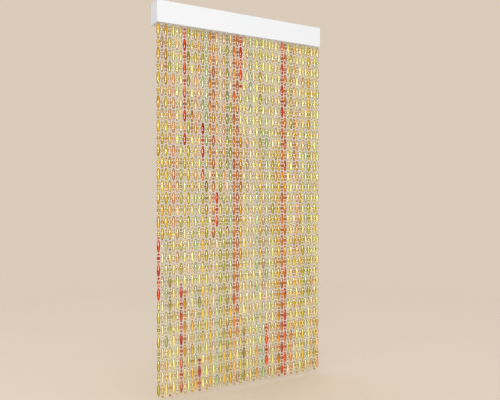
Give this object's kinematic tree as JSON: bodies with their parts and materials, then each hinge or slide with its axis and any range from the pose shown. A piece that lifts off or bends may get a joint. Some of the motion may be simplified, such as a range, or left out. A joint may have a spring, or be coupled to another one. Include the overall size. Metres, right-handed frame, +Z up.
{
  "type": "bead door curtain with rail",
  "caption": "Doorway curtain of hanging bead strings, long oval beads alternating with small and large balls, staggered from string to string, under a white box rail.",
  "frame": {"origin": "centre of the rail's back face, which lies against the wall above the doorway", "axes": "+Z up, +X along the rail to the right as seen from the front, the front faces -Y and the rail's back faces +Y"},
  "size_m": [1, 0.09, 2],
  "materials": {
    "rail": "satin white, extruded",
    "end_cap": "satin white, moulded",
    "bead_strings": "transparent tinted plastic beads in yellow, green, peach, orange and red, glossy"
  },
  "bodies": {
    "root": {"rail": "rail", "end_cap_left": "end_cap", "end_cap_right": "end_cap", "strand_strip_1": "bead_strings", "strand_strip_2": "bead_strings", "strand_strip_3": "bead_strings", "strand_strip_4": "bead_strings", "strand_strip_5": "bead_strings", "strand_strip_6": "bead_strings", "strand_strip_7": "bead_strings"}
  },
  "joints": []
}
